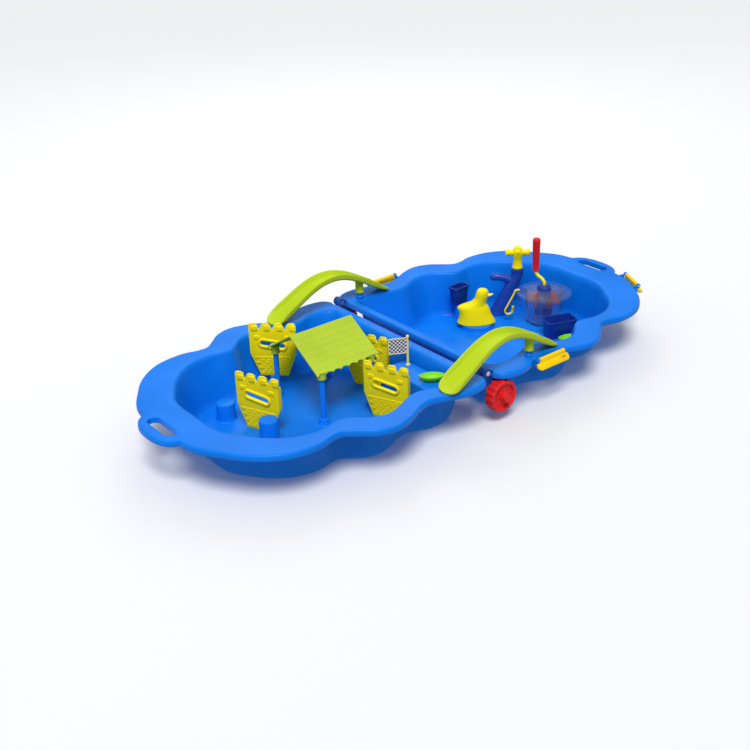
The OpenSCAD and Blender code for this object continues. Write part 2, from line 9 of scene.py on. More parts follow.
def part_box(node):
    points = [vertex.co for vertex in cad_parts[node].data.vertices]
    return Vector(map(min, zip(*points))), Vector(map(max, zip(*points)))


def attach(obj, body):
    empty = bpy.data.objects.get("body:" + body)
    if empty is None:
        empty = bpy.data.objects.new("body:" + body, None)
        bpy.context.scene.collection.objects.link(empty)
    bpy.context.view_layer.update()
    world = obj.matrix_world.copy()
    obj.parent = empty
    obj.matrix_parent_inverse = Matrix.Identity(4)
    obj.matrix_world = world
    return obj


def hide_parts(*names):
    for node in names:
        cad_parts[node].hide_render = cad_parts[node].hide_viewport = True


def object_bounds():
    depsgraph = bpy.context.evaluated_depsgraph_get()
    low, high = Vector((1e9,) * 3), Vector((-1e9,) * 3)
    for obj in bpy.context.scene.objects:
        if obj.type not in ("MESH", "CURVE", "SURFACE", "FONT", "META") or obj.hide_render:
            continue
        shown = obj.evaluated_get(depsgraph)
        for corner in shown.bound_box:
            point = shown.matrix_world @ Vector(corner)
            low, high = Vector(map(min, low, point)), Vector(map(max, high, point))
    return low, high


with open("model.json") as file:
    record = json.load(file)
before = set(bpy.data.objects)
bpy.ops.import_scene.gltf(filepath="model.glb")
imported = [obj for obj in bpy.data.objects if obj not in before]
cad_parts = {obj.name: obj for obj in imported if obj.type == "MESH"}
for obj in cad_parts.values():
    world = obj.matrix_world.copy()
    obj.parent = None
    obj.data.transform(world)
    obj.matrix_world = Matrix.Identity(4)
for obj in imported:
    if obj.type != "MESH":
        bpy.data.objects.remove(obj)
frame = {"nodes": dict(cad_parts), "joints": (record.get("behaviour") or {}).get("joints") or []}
cad_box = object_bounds()
MM = 0.001

# ---- Driving dimensions, in millimetres, in the frame's own axes --------------------
basin_low, basin_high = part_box("basin_b")
RIM_Z = 112.0
RIM_END = 614.0
RIM_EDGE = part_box("basin_b")[0].x / MM
LIP = 14.0
LOOP = 32.0
MEAN_HALF_WIDTH = 285.0
# Wavy rim from the hinge side to the outer end: distance from the hinge line, half width
RIM_KEYS = [(RIM_EDGE, 262), (26, 280), (57, 288), (91, 285), (124, 272), (158, 263), (191, 270),
            (229, 289), (272, 300), (310, 289), (336, 268), (361, 248), (387, 247), (420, 255),
            (458, 253), (492, 243), (525, 222), (554, 193), (578, 158), (600, 122), (610, 92),
            (RIM_END, 50), (RIM_END - 1, 0)]


# ---- Small maths --------------------------------------------------------------------
def centre(node):
    low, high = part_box(node)
    return (low + high) / 2 / MM


def lerp(a, b, t):
    return tuple(p + (q - p) * t for p, q in zip(a, b))


def smooth(t):
    t = max(0.0, min(1.0, t))
    return t * t * (3 - 2 * t)


def catmull(a, b, c, d, t):
    return tuple(0.5 * (2 * q + (r - p) * t + (2 * p - 5 * q + 4 * r - s) * t * t
                        + (3 * q - p - 3 * r + s) * t ** 3) for p, q, r, s in zip(a, b, c, d))


def spline(keys, steps):
    """Points along a smooth curve through the keys."""
    last = len(keys) - 1
    points = []
    for i in range(last):
        around = [keys[max(0, min(last, i + k))] for k in (-1, 0, 1, 2)]
        points += [catmull(*around, s / steps) for s in range(steps)]
    return points + [tuple(keys[last])]


def fillet(points, radius, steps=4):
    """The polyline with each inner corner rounded over a length of radius."""
    result = [tuple(points[0])]
    for before, corner, after in zip(points, points[1:], points[2:]):
        reach_in = min(radius, 0.45 * math.dist(before, corner))
        reach_out = min(radius, 0.45 * math.dist(after, corner))
        a = lerp(corner, before, reach_in / max(math.dist(before, corner), 1e-6))
        b = lerp(corner, after, reach_out / max(math.dist(after, corner), 1e-6))
        for k in range(steps + 1):
            t = k / steps
            result.append(lerp(lerp(a, corner, t), lerp(corner, b, t), t))
    return result + [tuple(points[-1])]


def turned(points, degrees, at=(0, 0, 0)):
    c, s = math.cos(math.radians(degrees)), math.sin(math.radians(degrees))
    return [(at[0] + c * x - s * y, at[1] + s * x + c * y, at[2] + z) for x, y, z in points]


# ---- Mesh building ------------------------------------------------------------------
def add_mesh(name, verts, faces, sharp=35, recalc=True):
    """A mesh object from points in millimetres."""
    mesh = bpy.data.meshes.new(name)
    mesh.from_pydata([(x * MM, y * MM, z * MM) for x, y, z in verts], [], faces)
    bm = bmesh.new()
    bm.from_mesh(mesh)
    bmesh.ops.remove_doubles(bm, verts=bm.verts, dist=1e-6)
    if recalc:
        bmesh.ops.recalc_face_normals(bm, faces=bm.faces)
    bm.to_mesh(mesh)
    bm.free()
    mesh.shade_smooth()
    mesh.set_sharp_from_angle(angle=math.radians(sharp))
    obj = bpy.data.objects.new(name, mesh)
    bpy.context.scene.collection.objects.link(obj)
    return obj


def loft_data(rings, closed=True, caps=True, start=0):
    """Faces between rings of equal length, with end caps."""
    n = len(rings[0])
    faces = []
    for r in range(len(rings) - 1):
        for i in range(n if closed else n - 1):
            j = (i + 1) % n
            a, b = start + r * n, start + (r + 1) * n
            faces.append((a + i, a + j, b + j, b + i))
    if caps:
        faces.append(tuple(start + i for i in range(n - 1, -1, -1)))
        faces.append(tuple(start + (len(rings) - 1) * n + i for i in range(n)))
    return [p for ring in rings for p in ring], faces


class Shape:
    """Collects closed solids into one mesh."""

    def __init__(self):
        self.verts, self.faces = [], []

    def loft(self, rings, caps=True):
        verts, faces = loft_data(rings, caps=caps, start=len(self.verts))
        self.verts += verts
        self.faces += faces
        return self

    def lathe(self, profile, at=(0, 0, 0), steps=48, axis=None, squash=(1, 1)):
        """Turned solid: profile is radius, height pairs along the axis."""
        rings = []
        basis = Matrix.Identity(3)
        if axis is not None:
            basis = Vector(axis).to_track_quat("Z", "Y").to_matrix()
        for r, h in profile:
            ring = []
            for k in range(steps):
                a = 2 * math.pi * k / steps
                p = basis @ Vector((r * squash[0] * math.cos(a), r * squash[1] * math.sin(a), h))
                ring.append((at[0] + p.x, at[1] + p.y, at[2] + p.z))
            rings.append(ring)
        closed = math.dist(profile[0], profile[-1]) < 1e-6
        return self.loft(rings, caps=not closed)

    def tube(self, path, radius, steps=20, flat=1.0):
        """Round or flattened bar along a path."""
        rings = []
        pts = [Vector(p) for p in path]
        for i, p in enumerate(pts):
            ahead = (pts[min(i + 1, len(pts) - 1)] - pts[max(i - 1, 0)]).normalized()
            side = ahead.cross(Vector((0, 0, 1)))
            side = side.normalized() if side.length > 0.05 else Vector((0.64, 0.77, 0))
            up = side.cross(ahead).normalized()
            r = radius(i / (len(pts) - 1)) if callable(radius) else radius
            ring = []
            for k in range(steps):
                a = 2 * math.pi * k / steps
                q = p + side * (r * flat * math.cos(a)) + up * (r * math.sin(a))
                ring.append(tuple(q))
            rings.append(ring)
        return self.loft(rings)

    def block(self, corners_low, corners_high, round_by=2.0):
        """Rounded block between two quads of plan corners, each with its own height."""
        levels = [(0, round_by), (0.02, round_by * 0.3), (0.06, 0), (0.94, 0), (0.98, round_by * 0.3),
                  (1, round_by)]
        rings = []
        for t, pull in levels:
            quad = [lerp(a, b, t) for a, b in zip(corners_low, corners_high)]
            rings.append(rounded_quad(quad, 3 * round_by, pull))
        return self.loft(rings)

    def box(self, low, high, round_by=1.0):
        quad = [(low[0], low[1]), (high[0], low[1]), (high[0], high[1]), (low[0], high[1])]
        return self.block([(x, y, low[2]) for x, y in quad], [(x, y, high[2]) for x, y in quad],
                          round_by)

    def place(self, degrees, at):
        self.verts = turned(self.verts, degrees, at)
        return self

    def build(self, name, sharp=35):
        return add_mesh(name, self.verts, self.faces, sharp)


def rounded_quad(quad, radius, pull=0.0, steps=4):
    """Outline of a quad of 3-D corners with rounded corners, pulled inwards by pull."""
    middle = tuple(sum(c[k] for c in quad) / 4 for k in range(3))
    corners = []
    for c in quad:
        reach = math.dist(c, middle)
        corners.append(lerp(c, middle, min(0.5, pull / max(reach, 1e-6))))
    ring = []
    for i, corner in enumerate(corners):
        before, after = corners[i - 1], corners[(i + 1) % 4]
        a = lerp(corner, before, min(0.45, radius / math.dist(before, corner)))
        b = lerp(corner, after, min(0.45, radius / math.dist(after, corner)))
        for k in range(steps + 1):
            t = k / steps
            ring.append(lerp(lerp(a, corner, t), lerp(corner, b, t), t))
    return ring


def plate(name, outlines, depth, bevel, place, sharp=30):
    """Plate from an outer outline and hole outlines in X, Z, thick along Y, with bevelled edges."""
    curve = bpy.data.curves.new(name, "CURVE")
    curve.dimensions = "2D"
    curve.fill_mode = "BOTH"
    for outline in outlines:
        line = curve.splines.new("POLY")
        line.points.add(len(outline) - 1)
        for point, (x, z) in zip(line.points, outline):
            point.co = (x * MM, z * MM, 0, 1)
        line.use_cyclic_u = True
    curve.extrude = (depth / 2 - bevel) * MM
    curve.bevel_depth = bevel * MM
    curve.bevel_resolution = 2
    curve.offset = -bevel * MM
    temp = bpy.data.objects.new(name, curve)
    bpy.context.scene.collection.objects.link(temp)
    bpy.context.view_layer.update()
    mesh = bpy.data.meshes.new_from_object(temp.evaluated_get(bpy.context.evaluated_depsgraph_get()))
    bpy.data.objects.remove(temp)
    mesh.transform(place)
    bm = bmesh.new()
    bm.from_mesh(mesh)
    bmesh.ops.remove_doubles(bm, verts=bm.verts, dist=2e-6)
    bmesh.ops.recalc_face_normals(bm, faces=bm.faces)
    bm.to_mesh(mesh)
    bm.free()
    mesh.shade_smooth()
    mesh.set_sharp_from_angle(angle=math.radians(sharp))
    obj = bpy.data.objects.new(name, mesh)
    bpy.context.scene.collection.objects.link(obj)
    return obj


def upright(at, degrees):
    """Matrix that stands a plate drawn in X, Z on a place, its face turned about Z."""
    stand = Matrix.Rotation(math.radians(90), 4, "X")
    turn = Matrix.Rotation(math.radians(degrees), 4, "Z")
    return Matrix.Translation(Vector(at) * MM) @ turn @ stand


def join(name, objects):
    """One object from several meshes."""
    bm = bmesh.new()
    for o in objects:
        bm.from_mesh(o.data)
    mesh = bpy.data.meshes.new(name)
    bm.to_mesh(mesh)
    bm.free()
    for o in objects:
        bpy.data.objects.remove(o)
    mesh.shade_smooth()
    mesh.set_sharp_from_angle(angle=math.radians(32))
    obj = bpy.data.objects.new(name, mesh)
    bpy.context.scene.collection.objects.link(obj)
    return obj


# ---- Materials ----------------------------------------------------------------------
def plastic(name, colour, rough=0.34, grain=0.02, grain_scale=900, clear=0.0, mottle=0.06, wear=0.25,
            coat=0.06, sss=0.0):
    """Moulded plastic: cloudy colour, fine moulded grain, paler worn edges, uneven sheen."""
    mat = bpy.data.materials.new(name)
    mat.use_nodes = True
    nodes, links = mat.node_tree.nodes, mat.node_tree.links
    shader = nodes["Principled BSDF"]
    place = nodes.new("ShaderNodeTexCoord")
    cloud = nodes.new("ShaderNodeTexNoise")
    cloud.inputs["Scale"].default_value = 9
    cloud.inputs["Detail"].default_value = 5
    links.new(place.outputs["Object"], cloud.inputs["Vector"])
    ramp = nodes.new("ShaderNodeValToRGB")
    ramp.color_ramp.elements[0].position = 0.3
    ramp.color_ramp.elements[1].position = 0.72
    ramp.color_ramp.elements[0].color = [c * (1 - mottle) for c in colour] + [1]
    ramp.color_ramp.elements[1].color = [min(1, c * (1 + mottle) + 0.004) for c in colour] + [1]
    links.new(cloud.outputs["Fac"], ramp.inputs["Fac"])
    # Worn edges are a little paler
    geometry = nodes.new("ShaderNodeNewGeometry")
    edge = nodes.new("ShaderNodeMapRange")
    edge.inputs["From Min"].default_value = 0.515
    edge.inputs["From Max"].default_value = 0.60
    links.new(geometry.outputs["Pointiness"], edge.inputs["Value"])
    scuff = nodes.new("ShaderNodeTexNoise")
    scuff.inputs["Scale"].default_value = 60
    scuff.inputs["Detail"].default_value = 6
    links.new(place.outputs["Object"], scuff.inputs["Vector"])
    amount = nodes.new("ShaderNodeMath")
    amount.operation = "MULTIPLY"
    links.new(edge.outputs["Result"], amount.inputs[0])
    links.new(scuff.outputs["Fac"], amount.inputs[1])
    scaled = nodes.new("ShaderNodeMath")
    scaled.operation = "MULTIPLY"
    scaled.inputs[1].default_value = wear
    links.new(amount.outputs[0], scaled.inputs[0])
    mix = nodes.new("ShaderNodeMix")
    mix.data_type = "RGBA"
    links.new(scaled.outputs[0], mix.inputs["Factor"])
    links.new(ramp.outputs["Color"], mix.inputs["A"])
    mix.inputs["B"].default_value = [min(1, c * 1.5 + 0.12) for c in colour] + [1]
    links.new(mix.outputs["Result"], shader.inputs["Base Color"])
    # Uneven sheen
    sheen = nodes.new("ShaderNodeMapRange")
    sheen.inputs["To Min"].default_value = rough - 0.07
    sheen.inputs["To Max"].default_value = rough + 0.12
    links.new(scuff.outputs["Fac"], sheen.inputs["Value"])
    links.new(sheen.outputs["Result"], shader.inputs["Roughness"])
    # Moulded grain, with a faint long wave
    fine = nodes.new("ShaderNodeTexNoise")
    fine.inputs["Scale"].default_value = grain_scale
    fine.inputs["Detail"].default_value = 2
    links.new(place.outputs["Object"], fine.inputs["Vector"])
    bump = nodes.new("ShaderNodeBump")
    bump.inputs["Strength"].default_value = 0.25
    bump.inputs["Distance"].default_value = grain * MM * 10
    links.new(fine.outputs["Fac"], bump.inputs["Height"])
    wave = nodes.new("ShaderNodeBump")
    wave.inputs["Strength"].default_value = 0.35
    wave.inputs["Distance"].default_value = 1.2 * MM
    links.new(cloud.outputs["Fac"], wave.inputs["Height"])
    links.new(bump.outputs["Normal"], wave.inputs["Normal"])
    links.new(wave.outputs["Normal"], shader.inputs["Normal"])
    shader.inputs["Coat Weight"].default_value = coat
    shader.inputs["Coat Roughness"].default_value = 0.2
    shader.inputs["Specular IOR Level"].default_value = 0.5 if clear > 0.9 else 0.13
    shader.inputs["Transmission Weight"].default_value = clear
    # Thin clear walls hardly bend the light, so a low index shows what is behind them
    shader.inputs["IOR"].default_value = 1.07 if clear > 0.9 else 1.47
    shader.inputs["Subsurface Weight"].default_value = sss
    shader.inputs["Subsurface Radius"].default_value = (0.01, 0.01, 0.01)
    return mat


def metal(name):
    """Zinc-plated steel."""
    mat = plastic(name, (0.62, 0.63, 0.65), rough=0.36, grain=0.01, coat=0.0, wear=0.1)
    mat.node_tree.nodes["Principled BSDF"].inputs["Metallic"].default_value = 1.0
    return mat


def chequer(name):
    """Black and white squares; the pale yellow border all round is a separate piece."""
    mat = plastic(name, (0.9, 0.9, 0.88), rough=0.4)
    nodes, links = mat.node_tree.nodes, mat.node_tree.links
    shader = nodes["Principled BSDF"]
    uv = nodes.new("ShaderNodeUVMap")
    squares = nodes.new("ShaderNodeTexChecker")
    squares.inputs["Color1"].default_value = (0.02, 0.025, 0.07, 1)
    squares.inputs["Color2"].default_value = (0.88, 0.87, 0.82, 1)
    squares.inputs["Scale"].default_value = 1.0
    links.new(uv.outputs["UV"], squares.inputs["Vector"])
    links.new(squares.outputs["Color"], shader.inputs["Base Color"])
    return mat


BLUE = plastic("basin_blue", (0.0, 0.19, 0.80), rough=0.36, mottle=0.10, coat=0.035, wear=0.14)
BLUE_DEEP = plastic("hinge_navy", (0.003, 0.07, 0.42), rough=0.36)
NAVY = plastic("navy_clear", (0.008, 0.05, 0.40), rough=0.24, clear=0.35)
TOWER = plastic("tower_clear", (0.015, 0.09, 0.55), rough=0.22, clear=0.4)
LIME = plastic("lime", (0.47, 0.62, 0.012), rough=0.44, mottle=0.07)
ROOF_LIME = plastic("roof_lime", (0.44, 0.58, 0.035), rough=0.5, mottle=0.10, grain=0.05)
SUN = plastic("yellow", (1.0, 0.80, 0.0), rough=0.4, mottle=0.04)
AMBER = plastic("amber", (1.0, 0.64, 0.0), rough=0.38, mottle=0.05)
RED = plastic("red", (0.74, 0.012, 0.014), rough=0.34, mottle=0.08)
CLEAR = plastic("clear", (0.80, 0.92, 1.0), rough=0.08, clear=0.97, mottle=0.02, wear=0.05, grain=0.001,
                coat=0.4)
GREEN = plastic("boat_green", (0.25, 0.72, 0.02), rough=0.4)
POLE = plastic("pole_yellow", (0.90, 0.78, 0.25), rough=0.42)
STEEL = metal("steel")
FLAG = chequer("chequer")


def piece(obj, body, material, slot_name, *nodes):
    """Gives a piece its material, its body and the CAD nodes it stands for."""
    obj.data.materials.clear()
    obj.data.materials.append(material)
    if nodes:
        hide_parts(*nodes)
    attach(obj, body)
    return obj


def finish_cad(material, *nodes):
    """Gives shown CAD nodes their material."""
    for name in nodes:
        node = frame["nodes"][name]
        node.data.materials.clear()
        node.data.materials.append(material)


# Clasps: CAD node, body, length, joint, turn about Z, side
CLASPS = [("side_latch_near", "near_clasp", 92, "near_latch_flip", 0, 1),
          ("side_latch_far", "far_clasp", 92, "far_latch_flip", 0, -1),
          ("end_latch", "end_clasp", 84, "end_latch_flip", 63.4, 1)]


def pivot(joint):
    """Where a joint's axis passes, in millimetres."""
    found = next(j for j in frame["joints"] if j["name"] == joint)
    return Vector(found["pos_m"]) / MM


def put(shape, joint, degrees, flip):
    shape.verts = turned([(x, y * flip, z) for x, y, z in shape.verts], degrees, pivot(joint))
    return shape


# ---- Basins -------------------------------------------------------------------------
HALF_RIM = spline(RIM_KEYS, 7)
RIM = [(x, -y) for x, y in HALF_RIM] + [(x, y) for x, y in reversed(HALF_RIM[:-1])]
# Inset from the side, the outer end and the hinge side, and height below the rim plane
PROFILE = [(94, 106, 48, -109), (86, 98, 40, -106), (80, 92, 34, -96), (57, 80, 26, -LIP),
           (54, 76, 23, -5), (49, 70, 19, -1.8), (12, 12, 9, -0.4), (3, 3, 2, 0), (0, 0, 0, -4),
           (0, 0, 0, -LIP + 1), (1.5, 1.5, 1.5, -LIP), (3, 3, 3, -LIP + 1), (3, 3, 3, -5),
           (47, 69, 17, -6), (52, 75, 21, -9), (54, 77, 23, -LIP - 2), (77, 89, 31, -97),
           (83, 95, 37, -110), (92, 104, 46, -112)]


def inset(p, side, end, hinge):
    x = RIM_EDGE + hinge + (p[0] - RIM_EDGE) * (RIM_END - end - RIM_EDGE - hinge) / (RIM_END - RIM_EDGE)
    return x, p[1] * (1 - side / MEAN_HALF_WIDTH)


def loop_bulge(p, side):
    """How far the rim reaches out at the carrying loop."""
    across = abs(p[1]) / 66
    if across >= 1 or p[0] < RIM_END / 2 or side > 30:
        return 0.0
    return LOOP * math.sqrt(1 - across ** 2) * smooth((30 - side) / 22)


def basin_rings(sign):
    rings = []
    for side, end, hinge, depth in fillet(PROFILE, 5, 4):
        ring = []
        for p in RIM:
            x, y = inset(p, side, end, hinge)
            ring.append((sign * (x + loop_bulge(p, side)), y, RIM_Z + depth))
        rings.append(ring)
    return rings


def boss(shape, x, y, radius, top, flare=5):
    """Moulded pillar with a rounded top and a flared foot."""
    shape.lathe([(radius + flare, 2.4), (radius + flare * 0.45, 4.5), (radius + 0.8, 9),
                 (radius, 14 if top > 20 else 10), (radius, top - 3), (radius - 0.9, top - 0.9),
                 (radius - 3, top)], at=(x, y, 0), steps=40)


def grip_cutter(sign):
    """Upright slot through the carrying loop."""
    outline = stadium(RIM_END - 16 + 12, 31, 13)
    rings = [[(sign * x, y, z) for x, y in outline] for z in (RIM_Z - 30, RIM_Z + 20)]
    verts, faces = loft_data(rings)
    return add_mesh("cutter", verts, faces)


def stadium(x, half, radius, grow=0.0, steps=10):
    """Outline of the hand slot: two half circles joined by straights."""
    points = []
    for end, first in ((1, 0), (-1, 180)):
        for k in range(steps + 1):
            a = math.radians(first + 180 * k / steps)
            points.append((x + (radius + grow) * math.cos(a), end * half + (radius + grow) * math.sin(a)))
    return points


def cut(obj, cutter, overlapping=False):
    """Takes the cutter out of obj; overlapping is for a mesh of several solids that share space."""
    modifier = obj.modifiers.new("cut", "BOOLEAN")
    modifier.operation = "DIFFERENCE"
    modifier.solver = "EXACT"
    modifier.object = cutter
    modifier.use_self = overlapping
    bpy.context.view_layer.update()
    mesh = bpy.data.meshes.new_from_object(obj.evaluated_get(bpy.context.evaluated_depsgraph_get()))
    obj.modifiers.clear()
    obj.data = mesh
    bpy.data.objects.remove(cutter)


def grip_collar(shape, sign):
    """Rounded wall round the hand slot."""
    x = RIM_END - 16 + 12
    profile = [(0, -13), (-0.6, -2.2), (0.2, -0.5), (2, 0.25), (4, 0), (4.6, -2), (4.2, -13), (2, -14)]
    profile = fillet(profile + [profile[0]], 1.2, 3)
    rings = []
    for grow, depth in profile:
        rings.append([(sign * px, py, RIM_Z + depth) for px, py in stadium(x, 31, 13, grow)])
    shape.loft(rings, caps=False)


def hinge_notch(sign):
    """Openings in the hinge-side lip for the knuckles."""
    cutters = []
    low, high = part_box("hinge_brackets_b")
    for side in (-1, 1):
        shape = Shape()
        y = side * (high.y / MM - 9.5)
        x0, x1 = sorted((sign * (RIM_EDGE - 4), sign * (RIM_EDGE + 5)))
        shape.box((x0, y - 10, RIM_Z - 18), (x1, y + 10, RIM_Z + 6), 0.2)
        cutters.append(shape.build("notch"))
    return cutters


def clasp_ears():
    """Pairs of ears on the rim that carry the clasp pins."""
    ears = []
    for _node, _body, length, joint, degrees, flip in CLASPS:
        reach = 14.5 if degrees else 12.5
        shape = Shape()
        for end in (-1, 1):
            x = end * (length / 2 - 4)
            shape.lathe([(2, -3), (4.1, -3), (4.6, -2.4), (4.6, 2.4), (4.1, 3), (2, 3), (2, -3)], at=(x, 0, 0),
                        steps=28, axis=(1, 0, 0))
            shape.box((x - 3, 1, -3.8), (x + 3, reach, -0.8), 0.5)
            shape.box((x - 3, 3.8, -15), (x + 3, reach, -1.2), 0.5)
        ears.append(put(shape, joint, degrees, flip).build("ears"))
    return ears


def basin(name, sign, body, bosses):
    verts, faces = loft_data(basin_rings(sign))
    shell = add_mesh(name, verts, faces, sharp=50)
    cut(shell, grip_cutter(sign))
    for notch in hinge_notch(sign):
        cut(shell, notch)
    extra = Shape()
    grip_collar(extra, sign)
    for x, y, radius, top in bosses:
        boss(extra, x, y, radius, top)
    if name == "castle_basin":
        step_top = RIM_Z - 30
        extra.block([(-106, -188, 2), (-56, -188, 2), (-56, -42, 2), (-106, -42, 2)],
                    [(-103, -224, step_top), (-44, -224, step_top), (-44, -45, step_top),
                     (-103, -45, step_top)], 3)
    moulded = join(name, [shell, extra.build("extra")] + (clasp_ears() if sign > 0 else []))
    piece(moulded, body, BLUE, "basin_plastic", "basin_a" if sign < 0 else "basin_b")


roof_low, roof_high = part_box("roof_posts")
post_x = [roof_low.x / MM + 6, roof_high.x / MM - 6]
post_y = [roof_low.y / MM + 6, roof_high.y / MM - 6]
A_BOSSES = [(-403, 117, 20, RIM_Z - 70), (-393, -33, 20, RIM_Z - 52), (-234, 181, 11, RIM_Z - 90)]
A_BOSSES += [(x, y, 10, 16) for x in post_x for y in post_y]
swirl = centre("rotor_hub")
left_box = centre("box_left")
B_BOSSES = [(300, 92, 36, 17), (left_box.x, left_box.y, 11, RIM_Z - 66), (swirl.x, swirl.y, 12, 20)]
basin("castle_basin", -1, "folding_basin", A_BOSSES)
basin("swirl_basin", 1, "table", B_BOSSES)


# ---- Bridges ------------------------------------------------------------------------
def bridge(name, node, post, side, body):
    low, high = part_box(node)
    x0, x1 = low.x / MM, high.x / MM
    length = x1 - x0
    post_centre = centre(post)
    toe = 13.0
    share = (post_centre.x - x0) / length
    line = abs(post_centre.y) + toe * share
    height = high.z / MM - RIM_Z - 0.3
    wall_top = 15.0

    def arch(t):
        return (height - wall_top) * ((1 - math.cos(2 * math.pi * t)) / 2) ** 0.75

    rings = []
    stations = 84
    for k in range(stations + 1):
        t = k / stations
        half = (58 + (40 - 58) * min(1, 1.6 * t)) / 2
        end_gap = min(t, 1 - t) * length
        nose = 22 if t < 0.5 else 15
        if end_gap < nose:
            half *= math.sqrt(max(0.02, 1 - (1 - end_gap / nose) ** 2))
        wall = 3 + (wall_top - 3) * smooth(min(1, 6.5 * min(t, 1 - t) + 0.12))
        thick = min(4.0, half * 0.3)
        section = [(-half + 3, 0), (half - 3, 0), (half, 3), (half, wall - 1), (half - thick / 2, wall),
                   (half - thick, wall - 1.5), (half - thick - 5, 3.2), (-half + thick + 5, 3.2),
                   (-half + thick, wall - 1.5), (-half + thick / 2, wall), (-half, wall - 1), (-half, 3)]
        section = fillet(section + [section[0]], 2.4, 3)[1:]
        y = side * (line - toe * t)
        slope = (arch(min(1, t + 0.004)) - arch(max(0, t - 0.004))) / (0.008 * length)
        tilt = math.atan(slope) if 0.004 < t < 0.996 else 0
        ring = []
        for across, up in section:
            ring.append((x0 + length * t - 0.6 * up * math.sin(tilt), y + across,
                         RIM_Z + 0.3 + arch(t) + up * (0.4 + 0.6 * math.cos(tilt))))
        rings.append(ring)
    shape = Shape().loft(rings)
    # Socket that stands on the blue post
    under = arch(share)
    shape.lathe([(7.3, 9), (10.4, 9), (10.6, 11), (9.8, 13), (9.4, 20), (9.6, under - 4), (12, under + 1.5),
                 (7.3, under + 1.5)], at=(post_centre.x, post_centre.y, RIM_Z + 3))
    piece(shape.build(name, 42), body, LIME, "lime_plastic", node)
    foot = Shape().lathe([(9.5, 0), (9.5, 1.2), (7.6, 2.6), (7, 4), (6.9, 27), (6.2, 28)],
                         at=(post_centre.x, post_centre.y, RIM_Z + 0.3))
    piece(foot.build(name + "_post"), body, BLUE, "basin_plastic", post)


bridge("slide_bridge_near", "bridge_near", "bridge_post_near", -1, "near_bridge")
bridge("slide_bridge_far", "bridge_far", "bridge_post_far", 1, "far_bridge")


# ---- Castle gates -------------------------------------------------------------------
GATE_W, GATE_H, GATE_T = 104.0, 128.0, 4.0
MERLONS, MERLON_H = 4, 17.0


def gate_outline():
    half, notch = GATE_W / 2, 10.0
    merlon = (GATE_W - (MERLONS - 1) * notch) / MERLONS
    points = [(-0.3 * GATE_W, 0), (0.3 * GATE_W, 0), (half, 0.42 * GATE_H)]
    for i in range(MERLONS - 1, -1, -1):
        left = -half + i * (merlon + notch)
        points += [(left + merlon, GATE_H - 5), (left + merlon - 3, GATE_H), (left + 3, GATE_H - 1),
                   (left, GATE_H - 5)]
        if i:
            points.append((left - notch / 2, GATE_H - MERLON_H))
    points.append((-half, 0.42 * GATE_H))
    return fillet(points + [points[0]], 2.2, 3)[1:]


def slot_outline(grow, steps=8):
    c, s = math.cos(math.radians(-9)), math.sin(math.radians(-9))
    points = []
    for end, first in ((1, -90), (-1, 90)):
        for k in range(steps + 1):
            a = math.radians(first + 180 * k / steps)
            x, z = end * 22 + (6 + grow) * math.cos(a), (6 + grow) * math.sin(a)
            points.append((c * x - s * z, 0.6 * GATE_H + s * x + c * z))
    return points


def gate(node, at, degrees, body):
    """Castle gate whose face looks along -Y before it is turned."""
    parts = [plate("wall", [gate_outline(), slot_outline(0)], GATE_T, 1.0,
                   upright(at, degrees) @ Matrix.Translation((0, 0, -GATE_T / 2 * MM))),
             plate("frame", [slot_outline(5), slot_outline(0.4)], 4.5, 1.2,
                   upright(at, degrees) @ Matrix.Translation((0, 0, 0.9 * MM)))]
    relief = Shape()
    for row in range(7):
        width = 0.6 * GATE_W + (0.4 * GATE_W) * (row * 6.2 + 6) / (0.42 * GATE_H) - 10
        count = 5
        for col in range(count):
            x = -width / 2 + width * (col + (0.5 if row % 2 else 0.0)) / count
            right = min(x + width / count - 1.6, width / 2)
            if right - x > 3:
                relief.box((x, -1.1, 5 + row * 6.2), (right, 0.6, 9.8 + row * 6.2), 0.5)
    for end in (-1, 1):
        relief.box((end * (GATE_W / 2 - 2.2) - 2, 1, 0.43 * GATE_H),
                   (end * (GATE_W / 2 - 2.2) + 2, 13, 0.83 * GATE_H), 0.9)
        relief.box((end * 34 - 7, -1.6, 0.70 * GATE_H), (end * 34 + 7, 0.6, 0.76 * GATE_H), 0.6)
    for i in range(MERLONS):
        x = -GATE_W / 2 + (i + 0.5) * (GATE_W + 10) / MERLONS - 1.2
        relief.box((x - 7.4, -2.2, GATE_H - 17), (x + 7.4, 0.6, GATE_H - 7 + 2 * (i % 2)), 1.2)
        relief.box((x - 5.4, 2, GATE_H - 24), (x + 5.4, 7.5, GATE_H - 4), 1.4)
    relief.place(degrees, at)
    parts.append(relief.build("relief"))
    piece(join(node.replace("castle", "gate"), parts), body, SUN, "yellow_plastic", node)


GATE_TURN = -67.0
gate("castle_near_left", (-378, 27, 3), GATE_TURN, "near_left_gate")
gate("castle_far_left", (-234, 182, RIM_Z - 90), -45.0, "far_left_gate")
gate("castle_near_right", (-152, -111, 3), GATE_TURN, "near_right_gate")
gate("castle_far_right", (-90, 33, 3), GATE_TURN, "far_right_gate")


